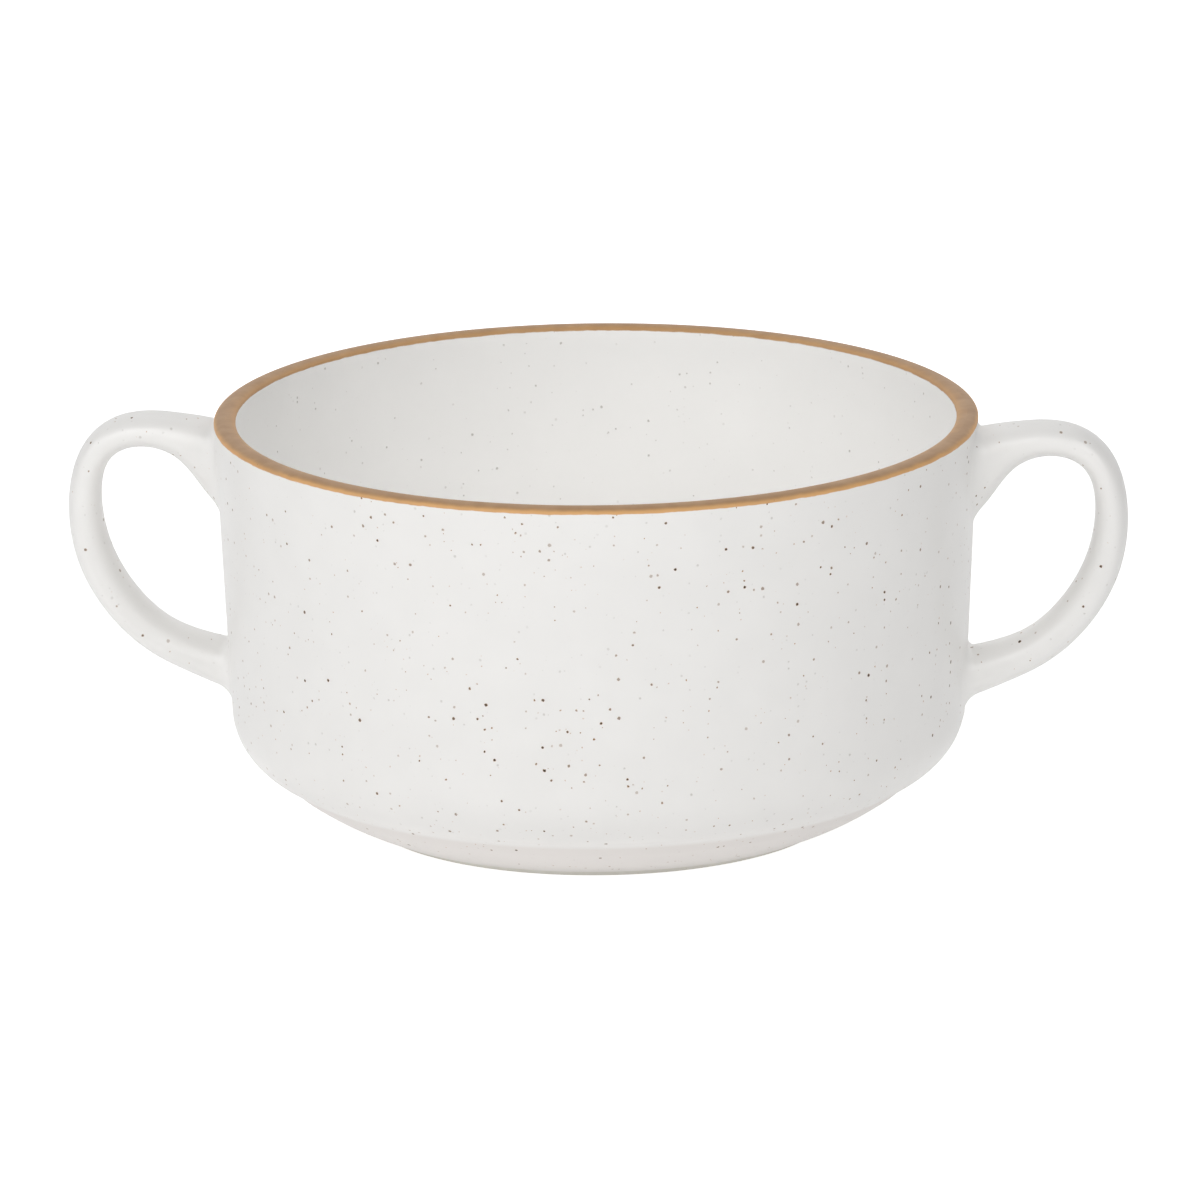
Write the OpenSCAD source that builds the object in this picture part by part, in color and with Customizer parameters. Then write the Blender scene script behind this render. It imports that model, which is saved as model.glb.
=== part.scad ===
// Two-handled stoneware soup bowl.
// A thrown clay body stands on a stepped base. Two pulled loop handles are luted to its
// wall with slip, and the glaze lies over the clay in separate patches.
// Millimetres. The bowl stands on Z = 0, its axis is Z, and the handles lie along X.

/* [Bowl] */
// Diameter over the rim, glaze included
rim_d = 136; // [126:1:146]
// Height from the table to the top of the rim
bowl_h = 73.5; // [68:0.5:80]
// Thickness of the wall, glaze included
wall_t = 3.9; // [3.4:0.1:5]
// How far the straight wall leans in on its way down, on the radius
wall_lean = 2.4; // [1:0.1:4]
// Radius of the round shoulder under the wall
shoulder_r = 11.5; // [9:0.1:13]
// Radius of the corner between the inside wall and the floor
corner_r = 22; // [18:0.5:26]
// Thickness of the floor over the foot well
floor_t = 6; // [5:0.1:8]

/* [Base] */
// Height of the base stage under the shoulder
stage_h = 9.2; // [8:0.1:11]
// Height of the bevel between the shoulder and the stage
stage_bevel_h = 1.6; // [1:0.1:2.4]
// Width of that bevel, out from the start of the shoulder
stage_bevel = 1.6; // [1:0.1:2.4]
// How far the stage slopes in from the bevel to the foot
stage_run = 11.1; // [9:0.1:13]
// How far the slope swells out of a straight line
stage_swell = 0.4; // [0.1:0.1:1]
// Height of the bare clay edge under the glaze line
foot_edge_h = 1.4; // [1:0.1:2]
// Width of the bevel between that edge and the standing ring
foot_bevel = 2.6; // [1.6:0.1:3.2]
// Width of the flat ring that the bowl stands on
foot_w = 4; // [3:0.1:6]
// Depth of the well inside the foot ring
well_depth = 3; // [2:0.1:4]
// How far the side of the well leans in
well_draft = 1; // [0.5:0.1:2]

/* [Glaze] */
// Thickness of the glaze coat
glaze_t = 0.4; // [0.25:0.05:0.6]
// Height of the tan band that covers the rounded lip
band_h = 0.9; // [0.6:0.1:1.6]

/* [Handles] */
// Reach from the wall to the middle of the loop's far side
handle_reach = 24; // [20:0.5:28]
// Thickness of the strap, measured in the plane of the loop
handle_t = 6; // [5:0.1:7]
// Width of the strap, measured across the plane of the loop
handle_w = 10; // [8:0.5:13]
// Distance from the top of the rim down to the middle of the upper root
upper_drop = 9.5; // [9:0.1:11]
// Height of the middle of the lower root above the table
lower_rise = 26; // [25:0.5:30]

/* [Slip joints] */
// Fillet on top of the upper root
upper_top_fillet = 0.5; // [0.3:0.1:0.8]
// Fillet under the upper root
upper_under_fillet = 1.5; // [1:0.1:2.2]
// Fillet on top of the lower root
lower_top_fillet = 0.8; // [0.5:0.1:1.4]
// Fillet under the lower root
lower_under_fillet = 2.4; // [1.6:0.1:3]
// Least thickness of the slip round a root
slip_t = 0.12; // [0.08:0.01:0.2]

/* [Hidden] */
$fn = 96;

clay_colour = [0.82, 0.79, 0.73];
band_colour = [0.70, 0.53, 0.38];
glaze_colour = [0.91, 0.90, 0.87];

// Heights and radii of the turned profile
rim_r = rim_d / 2;
band_z = bowl_h - band_h;
shoulder_z = stage_h + shoulder_r;
floor_z = well_depth + floor_t;
corner_z = floor_z + corner_r;
lean = atan(wall_lean / (band_z - shoulder_z));
shoulder_mid_r = rim_r - wall_lean - shoulder_r / cos(lean);
stage_r = shoulder_mid_r + stage_bevel;
foot_r = stage_r - stage_run;
stand_r = foot_r - foot_bevel;
well_r = stand_r - foot_w - well_draft;
corner_mid_r = wall_line_r(corner_z) - (wall_t + corner_r) / cos(lean);

// Outside radius of the straight wall at a height
function wall_line_r(z) = rim_r - (band_z - z) * tan(lean);

// A round stretch of profile about a middle, from one angle to another
arc_steps = 10;
function arc(mid, r, from, to) =
    [for (i = [0:arc_steps])
        let (a = from + (to - from) * i / arc_steps)
        mid + r * [cos(a), sin(a)]];

// The swelling slope of the base stage, from the foot up to the bevel
slope_steps = 6;
slope_low = [foot_r, foot_edge_h];
slope_high = [stage_r, stage_h - stage_bevel_h];
slope_dir = (slope_high - slope_low) / norm(slope_high - slope_low);
slope_out = [slope_dir.y, -slope_dir.x];
function slope() =
    [for (i = [0:slope_steps])
        let (s = i / slope_steps)
        slope_low + (slope_high - slope_low) * s + slope_out * stage_swell * sin(180 * s)];

// The glazed surface: up the outside, over the lip, and down the inside to the axis
outside_line = concat(
    slope(),
    arc([shoulder_mid_r, shoulder_z], shoulder_r, -90, -lean),
    [[rim_r, band_z]]);
lip_steps = 12;
lip_line =
    [for (i = [1:lip_steps - 1])
        let (a = 180 * i / lip_steps)
        [rim_r - wall_t / 2 * (1 - cos(a)), band_z + band_h * sin(a)]];
inside_line = concat(
    [[rim_r - wall_t, band_z]],
    arc([corner_mid_r, corner_z], corner_r, -lean, -90),
    [[0, floor_z]]);
skin_line = concat(outside_line, lip_line, inside_line);

// The clay surface under it: the same line moved into the clay by the glaze
function side_of(p, q) = let (d = (q - p) / norm(q - p)) [-d.y, d.x];
function moved_in(line, depth) =
    [for (i = [0:len(line) - 1])
        let (before = side_of(line[max(i - 1, 0)], line[max(i, 1)]))
        let (after = side_of(line[min(i, len(line) - 2)], line[min(i + 1, len(line) - 1)]))
        line[i] + depth * (before + after) / (1 + before * after)];
clay_line = moved_in(skin_line, glaze_t);

outside_last = len(outside_line) - 1;
inside_first = len(outside_line) + len(lip_line);
skin_last = len(skin_line) - 1;
lip_top = outside_last + lip_steps / 2;

function part_of(line, first, last) = [for (i = [first:last]) line[i]];
function backwards(line) = [for (i = [len(line) - 1:-1:0]) line[i]];

// One patch of glaze, between two places on the surface
module glaze_patch(first, last) {
    rotate_extrude()
        polygon(concat(
            part_of(skin_line, first, last),
            backwards(part_of(clay_line, first, last))));
}

// The clay body as if it were filled, for cutting what is luted to it
module filled_clay() {
    rotate_extrude()
        polygon(concat(
            [[0, 0], [stand_r, 0]],
            part_of(clay_line, 0, lip_top),
            [[0, clay_line[lip_top].y]]));
}

module clay_body() {
    color(clay_colour)
        rotate_extrude()
            polygon(concat(
                clay_line,
                [
                    [0, well_depth + glaze_t],
                    [well_r, well_depth + glaze_t],
                    [well_r, well_depth],
                    [stand_r - foot_w, 0],
                    [stand_r, 0]]));
}

module rim_glaze() {
    color(band_colour)
        glaze_patch(outside_last, inside_first);
}

module inside_glaze() {
    color(glaze_colour)
        glaze_patch(inside_first, skin_last);
}

module well_glaze() {
    color(glaze_colour)
        translate([0, 0, well_depth])
            cylinder(h = glaze_t, r = well_r);
}

// The loop's middle line, from the upper root to the lower one. Each row is the way out as
// a share of the reach, the way up as a share of the height between the roots, the
// thickness as a share of the strap's, and the width as a share of the strap's.
loop_shares = [
    [-0.14, 0.87, 2.50, 1.3],
    [-0.05, 1.02, 2.35, 1.3],
    [0.27, 1.14, 1.03, 1.04],
    [0.70, 1.17, 1.00, 1.0],
    [1.03, 1.00, 0.83, 1.0],
    [1.04, 0.53, 1.16, 1.0],
    [0.65, 0.18, 1.14, 1.0],
    [0.28, 0.07, 1.18, 1.06],
    [-0.18, -0.02, 1.60, 1.35]];
loop_end = len(loop_shares) - 1;

// Where the root stretches of the loop end, and how far in its section turns upright,
// in rows of the table above
upper_root_end_share = 1.8;
lower_root_end_share = 7.2;
tangent_step_share = 0.01;

// Smooth curve that follows the rows of a table
function table_ends(rows) = concat(
    [2 * rows[0] - rows[1]], rows, [2 * rows[len(rows) - 1] - rows[len(rows) - 2]]);
loop_rows = table_ends(loop_shares);
function loop_at(u) =
    let (i = min(floor(u), loop_end - 1), t = u - i)
    (pow(1 - t, 3) * loop_rows[i]
        + (3 * pow(t, 3) - 6 * pow(t, 2) + 4) * loop_rows[i + 1]
        + (3 * (t + pow(t, 2) - pow(t, 3)) + 1) * loop_rows[i + 2]
        + pow(t, 3) * loop_rows[i + 3]) / 6;

upper_root_z = bowl_h - upper_drop;
function loop_mid(u) =
    let (row = loop_at(u))
    let (z = lower_rise + (upper_root_z - lower_rise) * row[1])
    [wall_line_r(z) + handle_reach * row[0], z];
function loop_out(u) =
    let (ahead = loop_mid(min(u + tangent_step_share, loop_end)))
    let (behind = loop_mid(max(u - tangent_step_share, 0)))
    side_of(behind, ahead);
function eased(s) = let (c = max(0, min(1, s))) c * c * (3 - 2 * c);

// Direction of the section's outer edge: square to the loop, but upright at the wall
function edge_dir(u) =
    let (upper = eased(1 - u / upper_root_end_share))
    let (lower = eased(1 - (loop_end - u) / (loop_end - lower_root_end_share)))
    let (d = (1 - upper - lower) * loop_out(u) + (upper - lower) * [0, 1])
    d / norm(d);

// How much the slip fillet adds to a section, by its distance from the wall
function fillet_at(u, out_share) =
    let (top = u < loop_end / 2 ? upper_top_fillet : lower_under_fillet)
    let (under = u < loop_end / 2 ? upper_under_fillet : lower_top_fillet)
    under + (top - under) * out_share;
function flare(gap, fillet) =
    gap <= 0 ? fillet :
    gap >= fillet ? 0 :
    fillet - sqrt(pow(fillet, 2) - pow(fillet - gap, 2));

// A point on the loop's surface: u is its place along the loop, and i its place round the
// section. The layer says how far the surface lies under the glaze.
loop_sides = 16;
fullness_share = 0.9;
function full(s) = sign(s) * pow(abs(s), fullness_share);
function over_wall(p) = norm([p.x, p.y]) - wall_line_r(p.z);
function loop_point(u, i, layer) =
    let (row = loop_at(u), mid = loop_mid(u), edge = edge_dir(u))
    let (half_t = handle_t * row[2] / 2, half_w = handle_w * row[3] / 2)
    let (a = 360 * i / loop_sides)
    let (e = full(cos(a)), f = full(sin(a)))
    let (bare = mid + edge * half_t * e)
    let (gap = over_wall([bare.x, half_w * f, bare.y]))
    let (grown = flare(gap, fillet_at(u, (1 + cos(a)) / 2)) - layer)
    let (p = mid + edge * (half_t + grown) * e)
    [p.x, (half_w + grown) * f, p.y];
function ring(u, layer) = [for (i = [0:loop_sides - 1]) loop_point(u, i, layer)];

// The place along the loop where one line of its surface comes out of the wall
search_steps = 24;
function way_out(i, layer, depth, inside, outside, left) =
    let (middle = (inside + outside) / 2)
    left == 0 ? middle :
    over_wall(loop_point(middle, i, layer)) + depth > 0
        ? way_out(i, layer, depth, inside, middle, left - 1)
        : way_out(i, layer, depth, middle, outside, left - 1);

// Rings from the wall out to a place on the loop
function root_rings(layer, depth, inside, outside, steps) =
    let (starts = [for (i = [0:loop_sides - 1])
        way_out(i, layer, depth, inside, outside, search_steps)])
    [for (k = [0:steps])
        [for (i = [0:loop_sides - 1])
            loop_point(starts[i] + (outside - starts[i]) * k / steps, i, layer)]];

upper_steps = 11;
arm_steps = 18;
lower_steps = 8;
clay_layer = glaze_t;
slip_layer = glaze_t - slip_t;
clay_depth = glaze_t / cos(lean);
function upper_rings(layer, depth, steps) =
    root_rings(layer, depth, 0, upper_root_end_share, steps);
function lower_rings(layer, depth, steps) =
    backwards(root_rings(layer, depth, loop_end, lower_root_end_share, steps));
function arm_rings(layer) =
    [for (k = [1:arm_steps - 1])
        let (s = k / arm_steps)
        ring(upper_root_end_share * (1 - s) + lower_root_end_share * s, layer)];

// The glaze goes straight down through the wall's glaze to the clay
function sunk(points) =
    [for (p = points)
        let (r = wall_line_r(p.z) - clay_depth)
        [sqrt(pow(r, 2) - pow(p.y, 2)), p.y, p.z]];
glazed_upper = upper_rings(0, 0, upper_steps);
glazed_lower = lower_rings(0, 0, lower_steps);
slip_upper = upper_rings(slip_layer, clay_depth, upper_steps + 1);
slip_lower = lower_rings(slip_layer, clay_depth, lower_steps + 1);
clay_upper = upper_rings(clay_layer, clay_depth, upper_steps + 1);
clay_lower = lower_rings(clay_layer, clay_depth, lower_steps + 1);

// Triangles between two neighbouring rings of a swept body
function ring_faces(a, b, n) =
    [for (i = [0:n - 1])
        let (j = (i + 1) % n)
        each [[a + i, b + j, a + j], [a + i, b + i, b + j]]];
function flat(rings) = [for (points = rings) each points];

// A solid swept through its rings
module swept(rings) {
    n = loop_sides;
    last = (len(rings) - 1) * n;
    polyhedron(
        points = flat(rings),
        faces = concat(
            [for (k = [0:len(rings) - 2]) each ring_faces(k * n, (k + 1) * n, n)],
            [for (i = [1:n - 2]) [0, i, i + 1]],
            [for (i = [1:n - 2]) [last, last + i + 1, last + i]]));
}

// A sleeve swept through outer rings and open along its inner ones
module sleeve(outer, inner) {
    n = loop_sides;
    count = len(outer);
    start = count * n;
    last = (count - 1) * n;
    polyhedron(
        points = concat(flat(outer), flat(inner)),
        faces = concat(
            [for (k = [0:count - 2]) each ring_faces(k * n, (k + 1) * n, n)],
            [for (k = [0:count - 2])
                each ring_faces(start + (k + 1) * n, start + k * n, n)],
            ring_faces(start, 0, n),
            ring_faces(last, start + last, n)));
}

// The clay of a handle runs into the wall and is cut to its surface
module handle() {
    difference() {
        swept(concat(
            [ring(0, clay_layer)],
            part_of(clay_upper, 1, upper_steps + 1),
            arm_rings(clay_layer),
            part_of(clay_lower, 0, lower_steps),
            [ring(loop_end, clay_layer)]));
        filled_clay();
    }
}

// The glaze on a handle goes over the slip at both roots
module handle_glaze() {
    sleeve(
        concat(
            [sunk(glazed_upper[0])],
            glazed_upper,
            arm_rings(0),
            glazed_lower,
            [sunk(glazed_lower[lower_steps])]),
        concat(slip_upper, arm_rings(clay_layer), slip_lower));
}

module upper_slip() {
    sleeve(slip_upper, clay_upper);
}

module lower_slip() {
    sleeve(slip_lower, clay_lower);
}

module right_handle() {
    color(clay_colour) handle();
}

module left_handle() {
    color(clay_colour) mirror([1, 0, 0]) handle();
}

module right_handle_glaze() {
    color(glaze_colour) handle_glaze();
}

module left_handle_glaze() {
    color(glaze_colour) mirror([1, 0, 0]) handle_glaze();
}

module right_upper_slip() {
    color(clay_colour) upper_slip();
}

module right_lower_slip() {
    color(clay_colour) lower_slip();
}

module left_upper_slip() {
    color(clay_colour) mirror([1, 0, 0]) upper_slip();
}

module left_lower_slip() {
    color(clay_colour) mirror([1, 0, 0]) lower_slip();
}

// The opening that a root needs in the glaze of the wall, straight along X
module root_opening(points) {
    translate([shoulder_mid_r, 0, 0])
        rotate([90, 0, 90])
            linear_extrude(height = handle_reach)
                polygon([for (p = points) [p.y, p.z]]);
}

module root_openings() {
    root_opening(glazed_upper[0]);
    root_opening(glazed_lower[lower_steps]);
}

// The glaze on the wall leaves room for the four roots
module outside_glaze() {
    color(glaze_colour)
        difference() {
            glaze_patch(0, outside_last);
            root_openings();
            mirror([1, 0, 0]) root_openings();
        }
}

clay_body();
rim_glaze();
outside_glaze();
inside_glaze();
well_glaze();
right_handle();
left_handle();
right_handle_glaze();
left_handle_glaze();
right_upper_slip();
right_lower_slip();
left_upper_slip();
left_lower_slip();
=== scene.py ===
# %% [markdown]
# # A two-handled soup bowl in speckled glaze
#
# The real bowl is thrown on a wheel, turned to a stepped base, and fitted with two pulled
# loop handles while the clay is still damp. A pale satin glaze with dark grains goes over
# all of it, and a tan band is left on the lip. This lesson builds each coat of glaze and
# the clay under it as its own closed mesh, paints them from code, and lights them softly.

# %% Load the bowl that the other tools packed
from math import atan, cos, pi, radians, sin, tan
import bpy
import numpy as np
from mathutils import Matrix, Vector


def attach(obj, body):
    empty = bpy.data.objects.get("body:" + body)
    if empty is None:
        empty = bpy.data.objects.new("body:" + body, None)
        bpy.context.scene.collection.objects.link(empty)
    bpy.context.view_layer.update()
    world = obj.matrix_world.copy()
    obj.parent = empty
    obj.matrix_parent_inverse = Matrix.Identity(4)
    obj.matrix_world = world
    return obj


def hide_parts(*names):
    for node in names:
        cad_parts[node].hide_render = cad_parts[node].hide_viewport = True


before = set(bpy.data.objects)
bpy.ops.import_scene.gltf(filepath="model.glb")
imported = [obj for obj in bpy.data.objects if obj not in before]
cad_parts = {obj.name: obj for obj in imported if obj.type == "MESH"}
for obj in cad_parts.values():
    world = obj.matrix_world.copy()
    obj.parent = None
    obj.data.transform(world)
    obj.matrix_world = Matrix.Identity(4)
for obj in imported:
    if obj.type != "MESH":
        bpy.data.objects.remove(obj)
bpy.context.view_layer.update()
print("nodes", sorted(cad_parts))

# %% [markdown]
# ## The sizes
#
# A potter notes a few sizes and lets the rest follow. The same is done here, in
# millimetres, and a mesh is only turned into metres when it is made. The coats are drawn
# a hair inside the solids, so that their finer curves never stand outside them.

# %% Sizes of the turned bowl
MM = 0.001
HAIR = 0.05
RIM_R = 68 - HAIR
BOWL_H = 73.5
WALL_T = 3.9
WALL_LEAN = 2.4
SHOULDER_R = 11.5
CORNER_R = 22
FLOOR_T = 6
STAGE_H = 9.2
STAGE_BEVEL_H = 1.6
STAGE_BEVEL = 1.6
STAGE_RUN = 11.1
STAGE_SWELL = 0.4
FOOT_EDGE_H = 1.4
FOOT_BEVEL = 2.6
FOOT_W = 4
WELL_DEPTH = 3
WELL_DRAFT = 1
GLAZE_T = 0.4
BAND_H = 0.9

BAND_Z = BOWL_H - BAND_H
SHOULDER_Z = STAGE_H + SHOULDER_R
FLOOR_Z = WELL_DEPTH + FLOOR_T
CORNER_Z = FLOOR_Z + CORNER_R
LEAN = atan(WALL_LEAN / (BAND_Z - SHOULDER_Z))
SHOULDER_MID_R = RIM_R - WALL_LEAN - SHOULDER_R / cos(LEAN)
STAGE_R = SHOULDER_MID_R + STAGE_BEVEL
FOOT_R = STAGE_R - STAGE_RUN
STAND_R = FOOT_R - FOOT_BEVEL
WELL_R = STAND_R - FOOT_W - WELL_DRAFT


def wall_r(z):
    """Outside radius of the straight wall at a height."""
    return RIM_R - (BAND_Z - z) * tan(LEAN)


CORNER_MID_R = wall_r(CORNER_Z) - (WALL_T + CORNER_R) / cos(LEAN)
print("the wall leans", round(LEAN * 180 / pi, 2), "degrees")
print("the shoulder turns at a radius of", round(SHOULDER_MID_R, 2))

# %% [markdown]
# ## The camera
#
# The photograph was taken from about 2.3 m with a long lens, 15 degrees above the table
# and turned nearly 5 degrees towards the right handle. The bowl also stands a little
# askew in the picture, so the camera is rolled by half a degree. Working the camera out
# first means that every later render can be laid over the photograph.

# %% Camera
CAMERA_FAR = 2.308
CAMERA_TURN = radians(4.69)
CAMERA_RISE = radians(15.02)
CAMERA_ROLL = radians(-0.573)
LENS_MM = 388.0
SENSOR_MM = 36.0
CLIP_NEAR = 0.1
CLIP_FAR = 50.0
AIM_Z = 0.0374
AIM_RIGHT = 0.00037
AIM_UP = 0.00151

camera = bpy.data.objects.new("camera", bpy.data.cameras.new("camera"))
bpy.context.scene.collection.objects.link(camera)
camera.data.lens = LENS_MM
camera.data.sensor_width = SENSOR_MM
camera.data.clip_start = CLIP_NEAR
camera.data.clip_end = CLIP_FAR
camera_back = Vector((
    sin(CAMERA_TURN) * cos(CAMERA_RISE),
    -cos(CAMERA_TURN) * cos(CAMERA_RISE),
    sin(CAMERA_RISE)))
level = (-camera_back).to_track_quat("-Z", "Y").to_matrix()
turned = level @ Matrix.Rotation(CAMERA_ROLL, 3, "Z")
aim = Vector((0, 0, AIM_Z)) + turned.col[0] * AIM_RIGHT + turned.col[1] * AIM_UP
camera.matrix_world = Matrix.Translation(aim + camera_back * CAMERA_FAR) @ turned.to_4x4()
bpy.context.scene.camera = camera
print("camera stands at", [round(v, 3) for v in camera.location])

# %% [markdown]
# ## The table and the light
#
# The bowl was shown on plain white with hardly a shadow. A lit white table gives that: it
# throws light up under the round shoulder, which is as bright as the wall in the picture.
# Three soft lamps, in front and on both sides, give the wall its shading. One behind and
# above shines into the bowl, whose inside is nearly as bright as its outside. It isn't
# mirrored in the glaze, because it would leave a hard white edge on the handles. A low
# strip draws the thin bright line along them. The white room is at full strength for the
# camera, for mirror reflections in the glaze and through glass, of which there is none.
# The soft light that it throws on the bowl is faint. The table glows more to the camera
# than it does on the bowl.

# %% Colour settings and the world
scene = bpy.context.scene
scene.view_settings.view_transform = "Standard"
ROOM_LIGHT = 0.04
ROOM_SEEN = 1.0


def new_socket_value(tree, socket, value):
    """Links a socket to another node's output, or gives it a plain value."""
    if isinstance(value, bpy.types.NodeSocket):
        tree.links.new(value, socket)
    else:
        socket.default_value = value


def add(tree, kind, inputs=None, **settings):
    """Adds one shader node, sets its options, and fills its inputs."""
    node = tree.nodes.new(kind)
    for name, value in settings.items():
        setattr(node, name, value)
    for key, value in (inputs or {}).items():
        new_socket_value(tree, node.inputs[key], value)
    return node


world = bpy.data.worlds.new("white_room")
world.use_nodes = True
scene.world = world
tree = world.node_tree
tree.nodes.clear()
path = add(tree, "ShaderNodeLightPath")
seen = add(tree, "ShaderNodeMath", {
    0: path.outputs["Is Camera Ray"], 1: path.outputs["Is Glossy Ray"]}, operation="MAXIMUM")
seen = add(tree, "ShaderNodeMath", {
    0: seen.outputs[0], 1: path.outputs["Is Transmission Ray"]}, operation="MAXIMUM")
strength = add(tree, "ShaderNodeMapRange", {
    "Value": seen.outputs[0], "To Min": ROOM_LIGHT, "To Max": ROOM_SEEN})
background = add(tree, "ShaderNodeBackground", {
    "Color": (1, 1, 1, 1), "Strength": strength.outputs[0]})
add(tree, "ShaderNodeOutputWorld", {"Surface": background.outputs[0]})
print("room light", ROOM_LIGHT)

# %% The lit white table
TABLE_HALF = 3.0
TABLE_GLOW = 0.31
TABLE_WHITE = 0.75
TABLE_GREY = 0.8
# Metres that the table lies under the bowl
TABLE_DROP = 0.00002


def empty_material(name):
    """A material with an empty node tree; returns both."""
    material = bpy.data.materials.new(name)
    material.use_nodes = True
    material.node_tree.nodes.clear()
    return material, material.node_tree


def mesh_object(name, points, faces, material=None, smooth=True):
    """An object at the origin from points in metres and faces."""
    mesh = bpy.data.meshes.new(name)
    mesh.from_pydata([tuple(p) for p in points], [], faces)
    mesh.validate()
    if smooth:
        mesh.shade_smooth()
    obj = bpy.data.objects.new(name, mesh)
    bpy.context.scene.collection.objects.link(obj)
    if material is not None:
        mesh.materials.append(material)
    return obj


table_paint, tree = empty_material("lit_white_table")
path = add(tree, "ShaderNodeLightPath")
glow = add(tree, "ShaderNodeMapRange", {
    "Value": path.outputs["Is Camera Ray"], "To Min": TABLE_GLOW, "To Max": TABLE_WHITE})
matt = add(tree, "ShaderNodeBsdfDiffuse", {"Color": (TABLE_GREY, TABLE_GREY, TABLE_GREY, 1)})
light = add(tree, "ShaderNodeEmission", {"Color": (1, 1, 1, 1), "Strength": glow.outputs[0]})
both = add(tree, "ShaderNodeAddShader", {0: matt.outputs[0], 1: light.outputs[0]})
add(tree, "ShaderNodeOutputMaterial", {"Surface": both.outputs[0]})

corners = [(a * TABLE_HALF, b * TABLE_HALF, -TABLE_DROP)
           for a, b in ((-1, -1), (1, -1), (1, 1), (-1, 1))]
table = mesh_object("table", corners, [(0, 1, 2, 3)], table_paint, False)
print("table", 2 * TABLE_HALF, "m wide")

# %% Lamps


def softbox(name, turn, rise, far, width, height, power, mirrored=True):
    """A rectangular lamp that faces the bowl from a direction in degrees. A lamp that isn't
    mirrored gives soft light but no highlight in the glaze."""
    lamp = bpy.data.lights.new(name, "AREA")
    lamp.shape = "RECTANGLE"
    lamp.size = width
    lamp.size_y = height
    lamp.energy = power
    obj = bpy.data.objects.new(name, lamp)
    bpy.context.scene.collection.objects.link(obj)
    a, e = radians(turn), radians(rise)
    back = Vector((sin(a) * cos(e), -cos(a) * cos(e), sin(e)))
    obj.location = Vector((0, 0, AIM_Z)) + back * far
    obj.rotation_mode = "QUATERNION"
    obj.rotation_quaternion = (-back).to_track_quat("-Z", "Y")
    obj.visible_glossy = mirrored
    return obj


# Turn and rise in degrees, then distance, width and height in metres, and power in watts
softbox("front_softbox", -20, 32, 1.6, 1.0, 1.0, 8.1)
softbox("left_softbox", -69, 27, 1.6, 1.4, 0.9, 7.0)
softbox("right_softbox", 46, 35, 1.6, 1.2, 1.0, 8.8)
softbox("back_softbox", 180, 45, 1.6, 1.1, 0.9, 11.0, mirrored=False)
softbox("low_strip", -8, 2, 1.5, 0.24, 0.05, 0.9)

# %% [markdown]
# ## The turned profile
#
# Anything thrown on a wheel is one line spun round an axis. The line runs up the sloped
# base stage, in under the shoulder, up the wall, over the lip, and down inside to the
# middle of the floor. Glaze pools in the notch over the stage and rounds its edge, so the
# two corners become one soft bend here, where the solids keep them sharp.

# %% Lines and corners


def arc(mid, radius, start, end, steps):
    """Points on an arc in the plane of radius and height. Angles are in radians."""
    angles = np.linspace(start, end, steps + 1)
    return np.stack([mid[0] + radius * np.cos(angles), mid[1] + radius * np.sin(angles)], axis=1)


def unit(v):
    return np.asarray(v, float) / np.linalg.norm(v)


def rounded(before, corner, after, radius, steps):
    """The arc that takes the place of a corner between two straight runs."""
    before, corner, after = (np.asarray(p, float) for p in (before, corner, after))
    back, on = unit(before - corner), unit(after - corner)
    half = np.arccos(np.clip(back @ on, -1, 1)) / 2
    mid = corner + unit(back + on) * radius / np.sin(half)
    first = corner + back * radius / np.tan(half) - mid
    last = corner + on * radius / np.tan(half) - mid
    sweep = pi - 2 * half
    out = []
    for k in range(steps + 1):
        t = k / steps
        spoke = np.sin((1 - t) * sweep) * first + np.sin(t * sweep) * last
        out.append(mid + spoke / np.sin(sweep))
    return np.array(out)


def filled_in(line, most):
    """The same line with more points, none further apart than a given length."""
    out = [line[0]]
    for a, b in zip(line[:-1], line[1:]):
        pieces = max(1, int(np.ceil(np.linalg.norm(b - a) / most)))
        out.extend(a + (b - a) * k / pieces for k in range(1, pieces + 1))
    return np.array(out)


# %% The skin of the bowl, from the foot over the lip to the middle of the floor
BEND_BELOW = 0.5
BEND_ABOVE = radians(24)
REACH_BELOW = 2.0
REACH_ABOVE = 1.2
POINT_GAP = 0.8
SLOPE_POINTS = 19
SHOULDER_STEPS = 36
BEND_POINTS = 25
LIP_POINTS = 25
CORNER_STEPS = 40

slope_low = np.array([FOOT_R, FOOT_EDGE_H])
slope_high = np.array([STAGE_R, STAGE_H - STAGE_BEVEL_H])
slope_dir = unit(slope_high - slope_low)
slope_out = np.array([slope_dir[1], -slope_dir[0]])
share = np.linspace(0, 1, SLOPE_POINTS)[:, None]
slope = slope_low + (slope_high - slope_low) * share + slope_out * STAGE_SWELL * np.sin(pi * share)
slope = slope[np.linalg.norm(slope - slope_high, axis=1) > BEND_BELOW]
shoulder = arc((SHOULDER_MID_R, SHOULDER_Z), SHOULDER_R, BEND_ABOVE - pi / 2, -LEAN,
               SHOULDER_STEPS)

# Glaze has pooled in the notch and rounded the stage's edge, so they are one soft bend
shoulder_dir = np.array([cos(BEND_ABOVE), sin(BEND_ABOVE)])
first, last = slope[-1], shoulder[0]
second = first + unit(slope[-1] - slope[-2]) * REACH_BELOW
third = last - shoulder_dir * REACH_ABOVE
t = np.linspace(0, 1, BEND_POINTS)[1:-1, None]
bend = ((1 - t) ** 3 * first + 3 * t * (1 - t) ** 2 * second
        + 3 * t ** 2 * (1 - t) * third + t ** 3 * last)
outside_line = filled_in(np.vstack([slope, bend, shoulder, [[RIM_R, BAND_Z]]]), POINT_GAP)

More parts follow.
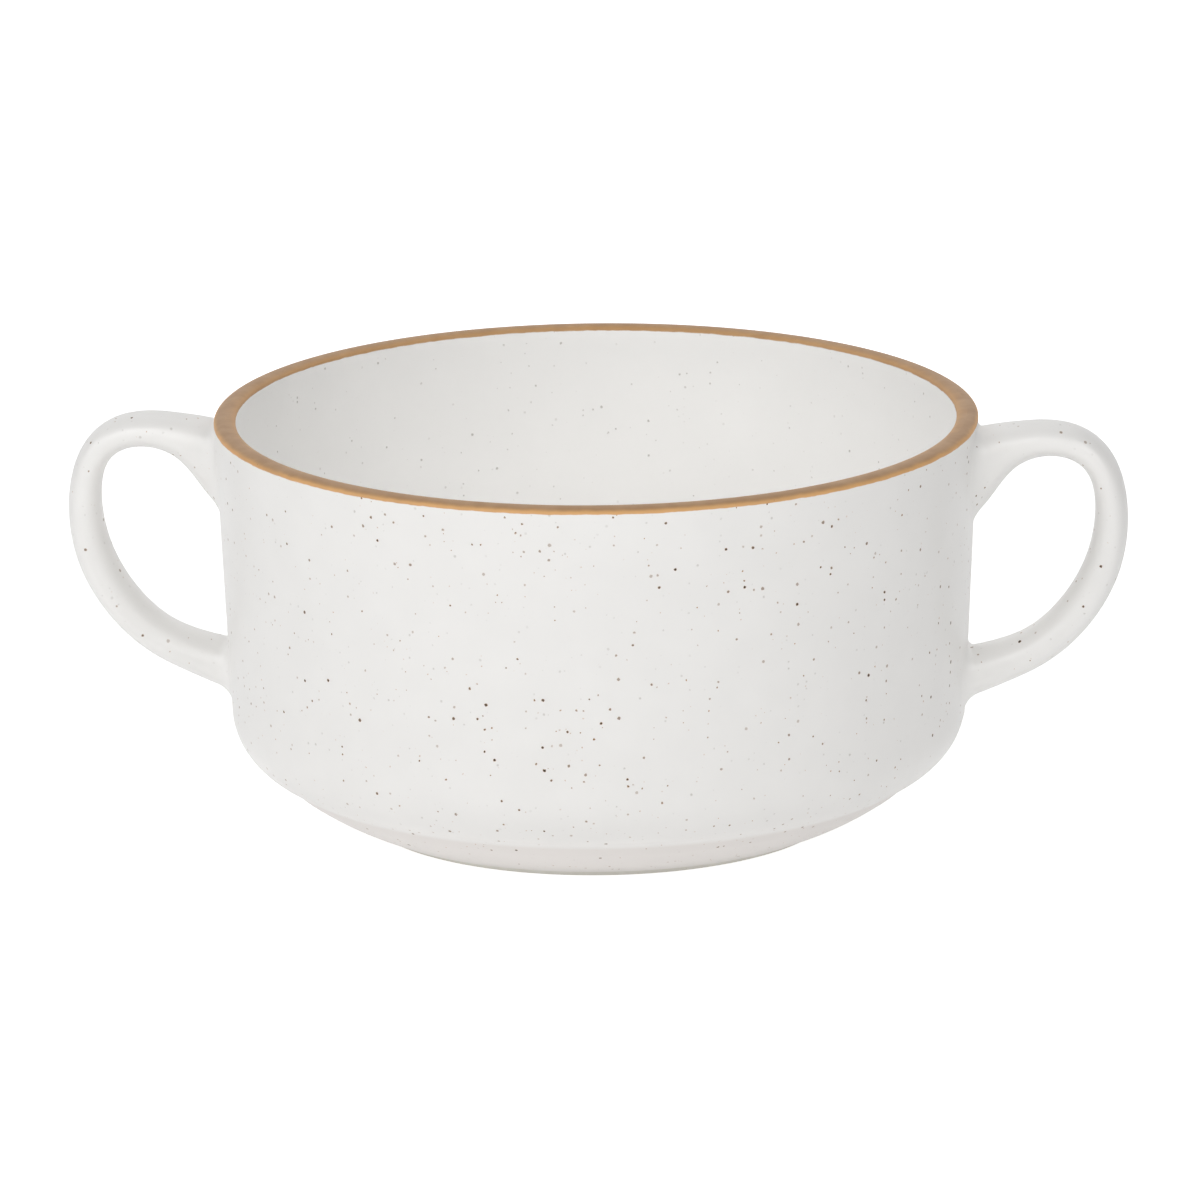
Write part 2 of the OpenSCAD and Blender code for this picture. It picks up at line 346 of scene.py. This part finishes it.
angles = np.linspace(0, pi, LIP_POINTS)
lip_line = np.stack([
    RIM_R - WALL_T / 2 * (1 - np.cos(angles)), BAND_Z + BAND_H * np.sin(angles)], axis=1)
inside_line = filled_in(np.vstack([
    [[RIM_R - WALL_T, BAND_Z]],
    arc((CORNER_MID_R, CORNER_Z), CORNER_R, -LEAN, -pi / 2, CORNER_STEPS),
    [[0, FLOOR_Z]]]), POINT_GAP)
skin_line = np.vstack([outside_line, lip_line[1:-1], inside_line])
print("points on the skin line", len(skin_line))


def moved_in(line, depth):
    """The line moved into the clay by a depth."""
    steps = np.diff(line, axis=0)
    sides = np.stack([-steps[:, 1], steps[:, 0]], axis=1)
    sides /= np.linalg.norm(sides, axis=1)[:, None]
    before = np.vstack([sides[:1], sides])
    after = np.vstack([sides, sides[-1:]])
    lean = 1 + np.sum(before * after, axis=1)
    return line + depth * (before + after) / lean[:, None]


clay_line = moved_in(skin_line, GLAZE_T)
clay_line[-1, 0] = 0
OUT_END = len(outside_line) - 1
IN_START = len(outside_line) + len(lip_line) - 2

# %% [markdown]
# ## Spinning a line into a shell
#
# Blender has a Screw modifier for this, but building the rings directly keeps the points
# of neighbouring coats in exactly the same places, so no hairline shows between them. The
# outline of each coat is a closed loop, so each mesh is a closed shell with a real
# thickness.

# %% Turned shells
TURNS = 288
SHARP = radians(42)
ON_AXIS = 1e-6


def turned_shell(name, outline, material):
    """Spins a closed outline in millimetres round the axis. Points on the axis become poles."""
    points, rings = [], []
    for r, z in outline:
        if r < ON_AXIS:
            rings.append([len(points)])
            points.append((0, 0, z * MM))
            continue
        rings.append(list(range(len(points), len(points) + TURNS)))
        for k in range(TURNS):
            a = 2 * pi * (k + 0.5) / TURNS
            points.append((r * cos(a) * MM, r * sin(a) * MM, z * MM))
    faces = []
    for i, ring in enumerate(rings):
        other = rings[(i + 1) % len(rings)]
        for k in range(TURNS):
            n = (k + 1) % TURNS
            if len(ring) == 1 and len(other) == 1:
                break
            if len(ring) == 1:
                faces.append((ring[0], other[n], other[k]))
            elif len(other) == 1:
                faces.append((ring[k], ring[n], other[0]))
            else:
                faces.append((ring[k], ring[n], other[n], other[k]))
    obj = mesh_object(name, points, faces, material)
    obj.data.set_sharp_from_angle(angle=SHARP)
    print(name, len(points), "points")
    return obj


def coat_outline(first, last):
    """The outline of the coat between two places on the skin line."""
    outer = skin_line[first:last + 1]
    inner = clay_line[first:last + 1][::-1]
    return np.vstack([outer, inner])


# %% [markdown]
# ## The speckled glaze
#
# The glaze is a warm, milky white with a satin shine. On the base stage, under the shoulder,
# it is painted darker and a little warmer, as painted shade, and inside the bowl the same glaze
# is painted lighter, as painted light. Iron grains in it melt into dark specks with a
# brown fringe, and grains deeper down show only as faint grey dots. Both are
# made with Voronoi cells, each of which may hold one grain of its own size and tone. The
# pattern is drawn in the bowl's own space, so it runs on from coat to coat. The loops have
# fewer dark grains than the wall, and more faint ones.

# %% Small helpers for materials
GLAZE_WHITE = (0.853, 0.842, 0.823)
# Painted light: inside the bowl the same glaze is painted lighter than outside
GLAZE_INSIDE_PAINTED_LIGHT = (0.975, 0.966, 0.949)


def calc(tree, how, a, b=0.0, c=0.0, clamp=False):
    """One maths node; returns its output."""
    node = add(tree, "ShaderNodeMath", {0: a, 1: b, 2: c}, operation=how, use_clamp=clamp)
    return node.outputs[0]


def vector_calc(tree, how, inputs):
    """One vector maths node; returns its output."""
    return add(tree, "ShaderNodeVectorMath", inputs, operation=how).outputs[0]


def blend(tree, factor, a, b):
    """Mixes two colours by a factor; returns the colour."""
    node = add(tree, "ShaderNodeMix", {"Factor": factor}, data_type="RGBA")
    for key, value in ((6, a), (7, b)):
        if not isinstance(value, bpy.types.NodeSocket):
            value = (*value, 1)
        new_socket_value(tree, node.inputs[key], value)
    return node.outputs[2]


def ramp(tree, value, low, high, smooth=True):
    """0 below low, 1 above high, and a soft step between. low may be above high."""
    node = add(tree, "ShaderNodeMapRange", {"Value": value, "From Min": low, "From Max": high},
               interpolation_type="SMOOTHSTEP" if smooth else "LINEAR")
    return node.outputs[0]


def cloud(tree, place, size, detail=2.0, seed=0.0):
    """Soft noise from 0 to 1 with blotches of about a given size in mm."""
    node = add(tree, "ShaderNodeTexNoise", {
        "Vector": place, "W": seed, "Scale": 1 / size, "Detail": detail}, noise_dimensions="4D")
    return node.outputs["Fac"]


def in_millimetres(tree):
    """The place on the bowl in mm, with its height and its distance from the axis."""
    spot = add(tree, "ShaderNodeTexCoord").outputs["Object"]
    place = vector_calc(tree, "SCALE", {0: spot, "Scale": 1 / MM})
    parts = add(tree, "ShaderNodeSeparateXYZ", {0: place})
    flat = vector_calc(tree, "MULTIPLY", {0: place, 1: (1, 1, 0)})
    out = add(tree, "ShaderNodeVectorMath", {0: flat}, operation="LENGTH").outputs["Value"]
    return place, parts.outputs["Z"], out


def grains(tree, place, cell, least, most, share, seed):
    """Scattered grains. Returns how far inside a grain each spot is, in mm, and a random tone."""
    moved = vector_calc(tree, "ADD", {0: place, 1: (seed, 2 * seed, -seed)})
    cells = add(tree, "ShaderNodeTexVoronoi", {
        "Vector": moved, "Scale": 1 / cell, "Randomness": 1.0}, voronoi_dimensions="3D", feature="F1")
    chance = add(tree, "ShaderNodeSeparateColor", {0: cells.outputs["Color"]})
    grow = calc(tree, "POWER", chance.outputs[0], 2.0)
    radius = calc(tree, "MULTIPLY_ADD", grow, most - least, least)
    there = calc(tree, "LESS_THAN", chance.outputs[1], share)
    away = calc(tree, "MULTIPLY", cells.outputs["Distance"], cell)
    inside = calc(tree, "SUBTRACT", calc(tree, "MULTIPLY", radius, there), away)
    return inside, chance.outputs[2]


# %% The glaze material
BAND_OUT_Z = 72.42
BAND_IN_Z = 72.7
TAN = (0.36, 0.212, 0.108)
TAN_PALE = (0.44, 0.278, 0.156)
TAN_ORANGE = (0.68, 0.38, 0.155)
SPECK_CORE = (0.035, 0.022, 0.014)
SPECK_FRINGE = (0.50, 0.25, 0.08)
GRAIN_GREY = (0.36, 0.33, 0.29)
# Painted shade: the glaze on the base stage, under the shoulder, is painted darker and a little
# warmer
STAGE_PAINTED_SHADE = (0.771, 0.739, 0.714)
STAGE_SHADE_FROM_Z = 9.9
STAGE_SHADE_TO_Z = 9.0
FLECK_BROWN = (0.22, 0.12, 0.06)
# How far the milky white darkens in its clouds
CLOUD_SHADE = 0.98
GLAZE_ROUGHNESS = 0.28
BAND_ROUGHNESS = 0.5
BAND_SHINE = 0.35
# Grains: the cell that may hold one, and the least and most radius, in mm
DEEP_CELL, DEEP_LEAST, DEEP_MOST = 1.4, 0.14, 0.36
DARK_CELL, DARK_LEAST, DARK_MOST = 1.45, 0.13, 0.36
FLECK_CELL, FLECK_LEAST, FLECK_MOST = 1.2, 0.05, 0.16
# Share of the cells that hold a grain, where the grains are thinnest, and what crowding adds
DEEP_SHARE = {"outside": 0.42, "inside": 0.3, "loops": 0.6}
DARK_SHARE = {"outside": 0.42, "inside": 0.12, "loops": 0.18}
FLECK_SHARE = 0.4
CROWDING = 0.3
# Uneven outlines of the grains, by this many mm, in waves of this scale
SHAKE = 0.22
SHAKE_SCALE = 3.5
# The tan band's lower edge wavers by this many mm
WAVER = 0.36
EDGE_SOFT = 0.07


def speckled_glaze(name, where):
    """The satin glaze, with softer grains inside the bowl, and the tan band round the lip."""
    inside = where == "inside"
    banded = where != "loops"
    material, tree = empty_material(name)
    place, height, out = in_millimetres(tree)

    # Slight clouds in the milky white
    # Inside the bowl the white is painted lighter, as painted light
    white = GLAZE_INSIDE_PAINTED_LIGHT if inside else GLAZE_WHITE
    tone = cloud(tree, place, 9.0, 2.0, 1.0)
    colour = blend(tree, ramp(tree, tone, 0.3, 0.75), tuple(CLOUD_SHADE * c for c in white), white)

    # The glaze on the base stage, under the shoulder, is painted darker and a little warmer, as
    # painted shade
    if banded and not inside:
        colour = blend(tree, ramp(tree, height, STAGE_SHADE_FROM_Z, STAGE_SHADE_TO_Z), colour, STAGE_PAINTED_SHADE)

    # Uneven outlines for the grains
    shake = add(tree, "ShaderNodeTexNoise", {
        "Vector": place, "Scale": SHAKE_SCALE, "Detail": 1.0}).outputs["Color"]
    shake = vector_calc(tree, "ADD", {0: shake, 1: (-0.5, -0.5, -0.5)})
    spot = vector_calc(tree, "MULTIPLY_ADD", {0: shake, 1: (SHAKE, SHAKE, SHAKE), 2: place})
    crowd = cloud(tree, place, 16.0, 1.0, 7.0)
    crowd = ramp(tree, crowd, 0.25, 0.75, False)

    # Faint grains deep in the glaze
    share = calc(tree, "MULTIPLY_ADD", crowd, CROWDING, DEEP_SHARE[where])
    deep, deep_tone = grains(tree, spot, DEEP_CELL, DEEP_LEAST, DEEP_MOST, share, 11.0)
    veil = calc(tree, "MULTIPLY_ADD", deep_tone, 0.42, 0.06)
    veil = calc(tree, "MULTIPLY", ramp(tree, deep, 0.0, 0.22), veil)
    colour = blend(tree, veil, colour, GRAIN_GREY)

    # Dark grains that break through the surface, with a brown fringe
    share = calc(tree, "MULTIPLY_ADD", crowd, CROWDING, DARK_SHARE[where])
    dark, dark_tone = grains(tree, spot, DARK_CELL, DARK_LEAST, DARK_MOST, share, 23.0)
    if inside:
        soft = calc(tree, "MULTIPLY", ramp(tree, dark, 0.0, 0.2), 0.6)
        colour = blend(tree, soft, colour, GRAIN_GREY)
    else:
        force = calc(tree, "POWER", dark_tone, 1.6)
        force = calc(tree, "MULTIPLY_ADD", force, 0.9, 0.23, clamp=True)
        fringe = ramp(tree, dark, 0.0, 0.05)
        fringe = calc(tree, "MULTIPLY", fringe, calc(tree, "MULTIPLY", force, 0.9))
        colour = blend(tree, fringe, colour, SPECK_FRINGE)
        core = calc(tree, "MULTIPLY", ramp(tree, dark, 0.04, 0.10), force)
        colour = blend(tree, core, colour, SPECK_CORE)

    if banded:
        within = calc(tree, "LESS_THAN", out, RIM_R - WALL_T / 2)
        edge = calc(tree, "MULTIPLY_ADD", within, BAND_IN_Z - BAND_OUT_Z, BAND_OUT_Z)
        waver = cloud(tree, place, 2.2, 2.0, 5.0)
        waver = calc(tree, "MULTIPLY_ADD", waver, WAVER, -WAVER / 2)
        over = calc(tree, "SUBTRACT", calc(tree, "ADD", height, waver), edge)
        mottle = ramp(tree, cloud(tree, place, 3.6, 2.0, 9.0), 0.25, 0.8)
        tan_colour = blend(tree, mottle, TAN, TAN_PALE)
        # The band's lower edge is more orange, and less so inside the lip
        edge_force = cloud(tree, place, 5.0, 1.0, 19.0)
        edge_force = calc(tree, "MULTIPLY_ADD", edge_force, 0.9, 0.5, clamp=True)
        outer = calc(tree, "MULTIPLY_ADD", within, -0.5, 1.0)
        edge_force = calc(tree, "MULTIPLY", edge_force, outer)
        orange = calc(tree, "MULTIPLY", ramp(tree, over, 0.92, 0.35), edge_force)
        tan_colour = blend(tree, orange, tan_colour, TAN_ORANGE)
        flecks = grains(tree, spot, FLECK_CELL, FLECK_LEAST, FLECK_MOST, FLECK_SHARE, 41.0)[0]
        flecks = calc(tree, "MULTIPLY", ramp(tree, flecks, 0.0, 0.08), 0.5)
        tan_colour = blend(tree, flecks, tan_colour, FLECK_BROWN)
        cover = ramp(tree, over, -EDGE_SOFT, EDGE_SOFT)

    # The faint waves that glaze keeps from flowing
    peel = cloud(tree, place, 2.4, 0.0, 13.0)
    swell = cloud(tree, place, 9.0, 0.0, 17.0)
    relief = calc(tree, "MULTIPLY_ADD", swell, 4.0, calc(tree, "MULTIPLY", peel, 0.5))
    bump = add(tree, "ShaderNodeBump", {"Height": relief, "Strength": 0.03, "Distance": 0.00025})
    surface = add(tree, "ShaderNodeBsdfPrincipled", {
        "Base Color": colour, "Roughness": GLAZE_ROUGHNESS, "Normal": bump.outputs[0]})
    if banded:
        dry = add(tree, "ShaderNodeBsdfPrincipled", {
            "Base Color": tan_colour, "Roughness": BAND_ROUGHNESS, "Specular IOR Level": BAND_SHINE,
            "Normal": bump.outputs[0]})
        surface = add(tree, "ShaderNodeMixShader", {
            0: cover, 1: surface.outputs[0], 2: dry.outputs[0]})
    add(tree, "ShaderNodeOutputMaterial", {"Surface": surface.outputs[0]})
    return material


outside_glaze_paint = speckled_glaze("speckled_glaze_outside", "outside")
inside_glaze_paint = speckled_glaze("speckled_glaze_inside", "inside")
loop_glaze_paint = speckled_glaze("speckled_glaze_loops", "loops")
print("glazes", [m.name for m in bpy.data.materials if "glaze" in m.name])

# %% [markdown]
# ## The bare clay
#
# Where the bowl stands on a shelf in the kiln it can't be glazed, so the foot shows fired
# clay: pale, dry and a little gritty, with fine rings left by the turning tool. The same
# clay is inside the handles and in the slip that joins them.

# %% The clay material
CLAY = (0.79, 0.775, 0.72)
CLAY_DEEP = (0.71, 0.69, 0.635)
GRIT_BROWN = (0.20, 0.14, 0.09)
CLAY_ROUGHNESS = 0.85
# The turning rings, from one to the next, in mm
RING_STEP = 0.55


def bare_clay(name):
    """Fired unglazed clay with grit and turning rings."""
    material, tree = empty_material(name)
    place, height, out = in_millimetres(tree)
    patchy = ramp(tree, cloud(tree, place, 5.0, 4.0, 2.0), 0.3, 0.75)
    colour = blend(tree, patchy, CLAY_DEEP, CLAY)
    grit = grains(tree, place, 0.9, 0.06, 0.18, 0.5, 31.0)[0]
    grit = calc(tree, "MULTIPLY", ramp(tree, grit, 0.0, 0.06), 0.45)
    colour = blend(tree, grit, colour, GRIT_BROWN)
    rings = calc(tree, "MULTIPLY", calc(tree, "ADD", out, height), 2 * pi / RING_STEP)
    rings = calc(tree, "SINE", rings)
    tooth = cloud(tree, place, 0.35, 3.0, 4.0)
    relief = calc(tree, "MULTIPLY_ADD", rings, 0.15, tooth)
    bump = add(tree, "ShaderNodeBump", {"Height": relief, "Strength": 0.35, "Distance": 0.00012})
    surface = add(tree, "ShaderNodeBsdfPrincipled", {
        "Base Color": colour, "Roughness": CLAY_ROUGHNESS, "Normal": bump.outputs[0]})
    add(tree, "ShaderNodeOutputMaterial", {"Surface": surface.outputs[0]})
    return material


clay_paint = bare_clay("bare_fired_clay")

# %% [markdown]
# ## The coats of glaze on the bowl
#
# Each coat lies where the potter dips or pours it: one outside, one inside, one over the
# lip, and one in the well under the foot.

# %% Coats
WELL_EDGE_R = 0.2
WELL_EDGE_STEPS = 5
inside_coat = turned_shell(
    "inside_coat", coat_outline(IN_START, len(skin_line) - 1), inside_glaze_paint)
rim_coat = turned_shell("rim_coat", coat_outline(OUT_END, IN_START), outside_glaze_paint)
outside_coat = turned_shell("outside_coat", coat_outline(0, OUT_END), outside_glaze_paint)
well_edge = arc((WELL_R - WELL_EDGE_R, WELL_DEPTH + WELL_EDGE_R), WELL_EDGE_R, -pi / 2, 0,
                WELL_EDGE_STEPS)
well_coat = turned_shell("well_coat", np.vstack([
    [[0, WELL_DEPTH]], [[WELL_R / 2, WELL_DEPTH]], well_edge,
    [[WELL_R, WELL_DEPTH + GLAZE_T]], [[0, WELL_DEPTH + GLAZE_T]]]), outside_glaze_paint)

# %% The clay body with its bare foot
FOOT_INNER_EDGE_R = 0.6
FOOT_OUTER_EDGE_R = 0.5
FOOT_EDGE_STEPS = 6
foot_corners = np.array([
    [WELL_R, WELL_DEPTH], [STAND_R - FOOT_W, 0], [STAND_R, 0], clay_line[0]])
foot_line = np.vstack([
    [[0, WELL_DEPTH + GLAZE_T], [WELL_R, WELL_DEPTH + GLAZE_T], [WELL_R, WELL_DEPTH]],
    rounded(*foot_corners[:3], FOOT_INNER_EDGE_R, FOOT_EDGE_STEPS),
    rounded(*foot_corners[1:], FOOT_OUTER_EDGE_R, FOOT_EDGE_STEPS)])
body_outline = np.vstack([clay_line, foot_line])
clay_shell = turned_shell("turned_clay", body_outline, clay_paint)

# %% [markdown]
# ## The loop handles
#
# A handle is pulled from a lump of wet clay into a tapering strap, bent over and pressed
# to the wall at both ends. Its middle line is a smooth curve through a few rows of sizes,
# with an oval section that turns upright at the wall. At each root the slip is smoothed
# into a fillet. Here the fillet is laid in rings that end exactly on the wall, and a thin
# feather runs on just under the wall's surface, so the two coats read as one.

# %% The line of the loop
HANDLE_REACH = 24
HANDLE_T = 6
HANDLE_W = 10
UPPER_ROOT_Z = BOWL_H - 9.5
LOWER_ROOT_Z = 26
SLIP_T = 0.12
# Fillets on the upper side of the strap, on its lower side, and across its width
UPPER_FILLETS = (0.5, 1.5, 3.4)
LOWER_FILLETS = (2.4, 0.8, 2.8)
UPPER_END = 1.8
LOWER_END = 7.2
FULLNESS = 0.9
# Way out, way up, thickness and width, each as a share of the loop's own size
LOOP_SHARES = np.array([
    [-0.14, 0.87, 2.50, 1.3],
    [-0.05, 1.02, 2.35, 1.3],
    [0.27, 1.14, 1.03, 1.04],
    [0.70, 1.17, 1.00, 1.0],
    [1.03, 1.00, 0.83, 1.0],
    [1.04, 0.53, 1.16, 1.0],
    [0.65, 0.18, 1.14, 1.0],
    [0.28, 0.07, 1.18, 1.06],
    [-0.18, -0.02, 1.60, 1.35]])
LOOP_LAST = len(LOOP_SHARES) - 1
loop_rows = np.vstack([
    2 * LOOP_SHARES[0] - LOOP_SHARES[1], LOOP_SHARES, 2 * LOOP_SHARES[-1] - LOOP_SHARES[-2]])


def loop_row(u):
    """The four sizes at places along the loop, by a smooth B-spline."""
    u = np.clip(u, 0, LOOP_LAST)
    i = np.minimum(np.floor(u).astype(int), LOOP_LAST - 1)
    t = (u - i)[:, None]
    return ((1 - t) ** 3 * loop_rows[i] + (3 * t ** 3 - 6 * t ** 2 + 4) * loop_rows[i + 1]
            + (3 * (t + t ** 2 - t ** 3) + 1) * loop_rows[i + 2] + t ** 3 * loop_rows[i + 3]) / 6


def loop_mid(u):
    row = loop_row(u)
    z = LOWER_ROOT_Z + (UPPER_ROOT_Z - LOWER_ROOT_Z) * row[:, 1]
    return np.stack([wall_r(z) + HANDLE_REACH * row[:, 0], z], axis=1)


def eased(s):
    s = np.clip(s, 0, 1)
    return s * s * (3 - 2 * s)


NUDGE = 0.01


def edge_direction(u):
    """Across the strap in the plane of the loop: square to it, but upright at the wall."""
    along = loop_mid(np.minimum(u + NUDGE, LOOP_LAST)) - loop_mid(np.maximum(u - NUDGE, 0))
    square = np.stack([-along[:, 1], along[:, 0]], axis=1)
    square /= np.linalg.norm(square, axis=1)[:, None]
    upper = eased(1 - u / UPPER_END)[:, None]
    lower = eased(1 - (LOOP_LAST - u) / (LOOP_LAST - LOWER_END))[:, None]
    d = (1 - upper - lower) * square + (upper - lower) * np.array([[0, 1]])
    return d / np.linalg.norm(d, axis=1)[:, None]


def over_wall(p):
    """How far points stand out from the wall."""
    return np.hypot(p[:, 0], p[:, 1]) - wall_r(p[:, 2])


# %% Points on the strap
SIDES = 56
HALVINGS = 30
side_angles = 2 * pi * np.arange(SIDES) / SIDES
side_up = np.sign(np.cos(side_angles)) * np.abs(np.cos(side_angles)) ** FULLNESS
side_out = np.sign(np.sin(side_angles)) * np.abs(np.sin(side_angles)) ** FULLNESS


def strap_points(u, growth):
    """One point for each side of the strap, at that side's own place along the loop."""
    row, mid, edge = loop_row(u), loop_mid(u), edge_direction(u)
    half_t = HANDLE_T * row[:, 2] / 2 + growth
    half_w = HANDLE_W * row[:, 3] / 2 + growth
    x = mid[:, 0] + edge[:, 0] * half_t * side_up
    z = mid[:, 1] + edge[:, 1] * half_t * side_up
    return np.stack([x, half_w * side_out, z], axis=1)


def places_at(gap, inside, outside):
    """Where along the loop each side stands a given gap out from the wall."""
    low, high = np.full(SIDES, float(inside)), np.full(SIDES, float(outside))
    for _ in range(HALVINGS):
        middle = (low + high) / 2
        beyond = over_wall(strap_points(middle, 0.0)) > gap
        high = np.where(beyond, middle, high)
        low = np.where(beyond, low, middle)
    return (low + high) / 2


def landed(points, gap):
    """The points moved square to the axis until they stand a given gap from the wall."""
    out = np.hypot(points[:, 0], points[:, 1])
    share = (wall_r(points[:, 2]) + gap) / out
    return np.stack([points[:, 0] * share, points[:, 1] * share, points[:, 2]], axis=1)


# %% Rings of one root, from under the wall's surface out to the free strap
FILLET_STEPS = 12
NECK_STEPS = 14
ARM_STEPS = 130
# Spread and gap in mm of the thin feather, from its hidden edge to the foot of the fillet
FEATHER = ((0.9, -0.42), (0.9, -0.045), (0.45, -0.012))


def root_rings(inside, outside, fillets, depth):
    """Rings at a depth under the glaze, from the wall outwards."""
    upper, lower, across = fillets
    along = lower + (upper - lower) * (1 + np.cos(side_angles)) / 2
    fillet = along + (across - along) * np.sin(side_angles) ** 2
    rings = []
    foot_place = places_at(np.zeros(SIDES), inside, outside)
    if depth == 0:
        for spread, gap in FEATHER:
            rings.append(landed(strap_points(foot_place, fillet + spread), gap))
    for k in range(FILLET_STEPS + 1):
        phi = pi / 2 * (1 - k / FILLET_STEPS)
        bare_gap = fillet * (1 - sin(phi))
        place = places_at(bare_gap, inside, outside)
        growth = fillet * (1 - cos(phi)) - depth * cos(phi)
        rings.append(landed(strap_points(place, growth), bare_gap - depth * sin(phi)))
    start = places_at(fillet, inside, outside)
    for k in range(1, NECK_STEPS + 1):
        place = start + (outside - start) * k / NECK_STEPS
        rings.append(strap_points(place, -depth))
    return rings


def loop_shell_rings(depth, root_depth):
    """All rings of the loop at a depth, from its upper root to its lower one."""
    rings = root_rings(0, UPPER_END, UPPER_FILLETS, root_depth)
    for k in range(1, ARM_STEPS):
        u = np.full(SIDES, UPPER_END + (LOWER_END - UPPER_END) * k / ARM_STEPS)
        rings.append(strap_points(u, -depth))
    return rings + root_rings(LOOP_LAST, LOWER_END, LOWER_FILLETS, root_depth)[::-1]


# %% [markdown]
# ## Clay, slip and glaze, one inside the other
#
# The same rings at other depths give everything that a handle is made of: its clay at the
# full depth of the glaze, the slip in a thin sleeve round each root, and the glaze coat
# over both. So the layers lie on each other as they do in a broken handle.

# %% The pieces of the two handles


def ring_shell(name, rings, side, material, capped=False):
    """A closed mesh through rings. side is 1 for right and -1 for left. A shell with an inner
    skin closes on itself, and a solid one gets a cap at both ends."""
    points = np.vstack(rings)
    count = len(rings)
    faces = []
    for i in range(count - 1 if capped else count):
        a, b = i * SIDES, ((i + 1) % count) * SIDES
        faces.extend((a + k, b + k, b + (k + 1) % SIDES, a + (k + 1) % SIDES) for k in range(SIDES))
    if capped:
        middles = [landed(np.mean(ring, axis=0, keepdims=True), -GLAZE_T)
                   for ring in (rings[0], rings[-1])]
        first = len(points)
        points = np.vstack([points] + middles)
        last = (count - 1) * SIDES
        for k in range(SIDES):
            n = (k + 1) % SIDES
            faces.append((k, n, first))
            faces.append((last + n, last + k, first + 1))
    points = points * MM
    points[:, 0] *= side
    obj = mesh_object(name, points, faces if side > 0 else [face[::-1] for face in faces], material)
    obj.data.set_sharp_from_angle(angle=SHARP)
    print(name, len(points), "points")
    return obj


def sleeve(outer, inner):
    return outer + inner[::-1]


SLIP_DEPTH = GLAZE_T - SLIP_T
coat_rings = sleeve(loop_shell_rings(0.0, 0.0), loop_shell_rings(GLAZE_T, SLIP_DEPTH))
clay_rings = loop_shell_rings(GLAZE_T, GLAZE_T)
upper_rings = sleeve(*[
    root_rings(0, UPPER_END, UPPER_FILLETS, d) for d in (SLIP_DEPTH, GLAZE_T)])
lower_rings = sleeve(*[
    root_rings(LOOP_LAST, LOWER_END, LOWER_FILLETS, d)[::-1] for d in (SLIP_DEPTH, GLAZE_T)])
# Ending of the piece's name, its rings, paint, capped or not, the solid it replaces, its slot
handle_parts = (
    ("_loop_coat", coat_rings, loop_glaze_paint, False, "_handle_glaze", "speckled_glaze"),
    ("_pulled_clay", clay_rings, clay_paint, True, "_handle", "bare_clay"),
    ("_upper_joint", upper_rings, clay_paint, False, "_upper_slip", "bare_clay"),
    ("_lower_joint", lower_rings, clay_paint, False, "_lower_slip", "bare_clay"))
handle_pieces = [
    (ring_shell(hand + ending, rings, side, paint, capped), hand + node, slot)
    for hand, side in (("right", 1), ("left", -1))
    for ending, rings, paint, capped, node, slot in handle_parts]

# %% [markdown]
# ## Tying the pieces to the solids
#
# Every piece rides on the one rigid body and stands for the solid that it replaces, so
# each of the thirteen solids has its own fine mesh.

# %% Ride and replace
bowl_pieces = [
    (outside_coat, "outside_glaze", "speckled_glaze"),
    (inside_coat, "inside_glaze", "speckled_glaze"),
    (rim_coat, "rim_glaze", "rim_band"),
    (well_coat, "well_glaze", "speckled_glaze"),
    (clay_shell, "clay_body", "bare_clay")]
for piece, node, slot in bowl_pieces + handle_pieces:
    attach(piece, "root")
    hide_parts(node)
